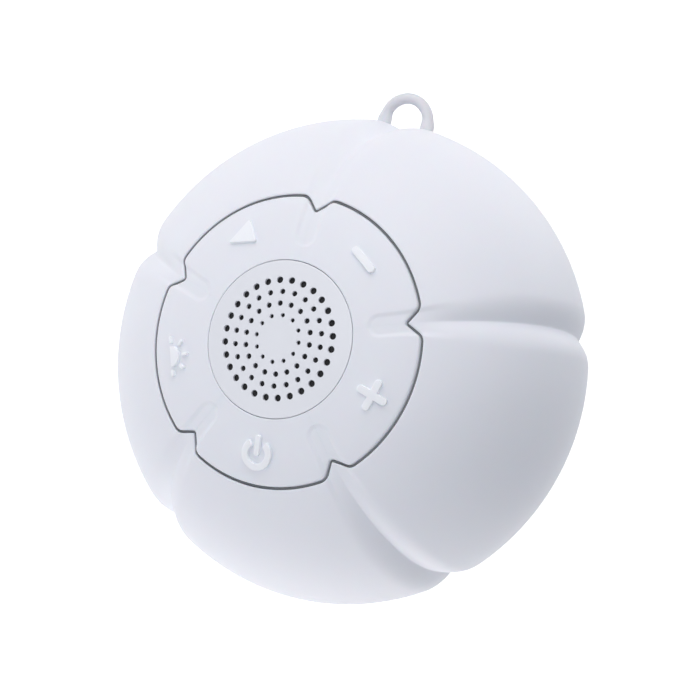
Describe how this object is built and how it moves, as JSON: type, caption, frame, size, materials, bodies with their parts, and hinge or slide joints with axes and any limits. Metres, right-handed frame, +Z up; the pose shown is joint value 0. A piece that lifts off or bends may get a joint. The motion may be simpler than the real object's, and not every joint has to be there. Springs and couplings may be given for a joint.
{
  "type": "shower speaker",
  "caption": "Ball-shaped splash-proof wireless speaker with a lobed soft white skin, push keys round a drilled grille, a hanging loop and a rear suction cup.",
  "frame": {"origin": "centre of the suction cup's rim, on the wall's surface", "axes": "+Y into the wall along the body's axis, grille facing -Y; +Z up towards the hanging loop; +X to the right of someone facing the grille"},
  "size_m": [0.09, 0.0698, 0.0959],
  "materials": {
    "skin_silicone": "soft-touch matte white silicone",
    "key_silicone": "soft-touch matte white, raised symbols in the same colour",
    "grille_pearl": "fine pearl white, satin",
    "loop_plastic": "satin white moulding",
    "housing_plastic": "translucent milk white moulding, lit from inside",
    "plate_plastic": "satin white moulding",
    "cover_silicone": "matte white",
    "cup_silicone": "clear smooth silicone",
    "grey_rubber": "dark grey",
    "membrane": "thin translucent silicone",
    "foam_black": "closed cell foam",
    "cloth_black": "fine woven water-repellent mesh",
    "steel": "zinc plated",
    "brass": "knurled insert",
    "switch_black": "glass-filled black",
    "board_green": "solder resist",
    "board_white": "white solder resist",
    "led_plastic": "phosphor in a white package",
    "chip_black": "moulded package",
    "basket_metal": "black pressed steel",
    "pole_steel": "plated",
    "ferrite": "sintered",
    "surround_rubber": "smooth",
    "cone_paper": "coated paper",
    "coil_copper": "wound copper",
    "cell_wrap": "shrink film",
    "tray_black": "moulded",
    "socket_steel": "nickel plated",
    "wire_red": "PVC",
    "ribbon_film": "polyimide film"
  },
  "bodies": {
    "housing": {"outer_skin": "skin_silicone", "front_housing": "housing_plastic", "rear_housing": "housing_plastic", "housing_o_ring": "grey_rubber", "housing_screws": "steel", "hanging_loop": "loop_plastic", "rear_plate": "plate_plastic", "rear_plate_screws": "steel", "suction_cup": "cup_silicone", "cup_stud": "steel", "stud_insert": "brass", "panel_seal": "grey_rubber", "key_membrane": "membrane", "button_board": "board_green", "tact_switches": "switch_black", "button_board_screws": "steel", "grille_disc": "grille_pearl", "grille_cloth": "cloth_black", "driver_gasket": "foam_black", "driver_screws": "steel", "driver_frame": "basket_metal", "driver_top_plate": "pole_steel", "driver_magnet": "ferrite", "driver_yoke": "pole_steel", "driver_surround": "surround_rubber", "lamp_board": "board_white", "lamp_leds": "led_plastic", "main_board": "board_green", "board_chips": "chip_black", "battery": "cell_wrap", "battery_tray": "tray_black", "board_screws": "steel", "usb_socket": "socket_steel", "port_board": "board_green", "cover_pin": "steel", "speaker_wires": "wire_red", "button_ribbon": "ribbon_film"},
    "key_minus": {"key_minus": "key_silicone", "plunger_minus": "switch_black"},
    "key_play": {"key_play": "key_silicone", "plunger_play": "switch_black"},
    "key_lamp": {"key_lamp": "key_silicone", "plunger_lamp": "switch_black"},
    "key_power": {"key_power": "key_silicone", "plunger_power": "switch_black"},
    "key_plus": {"key_plus": "key_silicone", "plunger_plus": "switch_black"},
    "cone": {"speaker_cone": "cone_paper", "dust_cap": "cone_paper", "voice_coil": "coil_copper"},
    "port_flap": {"port_cover": "cover_silicone"}
  },
  "joints": [
    {"name": "minus_press", "type": "slide", "parent": "housing", "child": "key_minus", "axis": [0, 1, 0], "range_m": [0, 0.0004], "stiffness_N_per_m": 3000},
    {"name": "play_press", "type": "slide", "parent": "housing", "child": "key_play", "axis": [0, 1, 0], "range_m": [0, 0.0004], "stiffness_N_per_m": 3000},
    {"name": "lamp_press", "type": "slide", "parent": "housing", "child": "key_lamp", "axis": [0, 1, 0], "range_m": [0, 0.0004], "stiffness_N_per_m": 3000},
    {"name": "power_press", "type": "slide", "parent": "housing", "child": "key_power", "axis": [0, 1, 0], "range_m": [0, 0.0004], "stiffness_N_per_m": 3000},
    {"name": "plus_press", "type": "slide", "parent": "housing", "child": "key_plus", "axis": [0, 1, 0], "range_m": [0, 0.0004], "stiffness_N_per_m": 3000},
    {"name": "cone_stroke", "type": "slide", "parent": "housing", "child": "cone", "axis": [0, -1, 0], "range_m": [-0.0008, 0.0008], "stiffness_N_per_m": 900},
    {"name": "port_flap_swing", "type": "hinge", "parent": "housing", "child": "port_flap", "pos_m": [0, -0.01863, -0.03668], "axis": [-1, 0, 0], "range_deg": [0, 95], "stiffness_Nm_per_rad": 0.002}
  ]
}
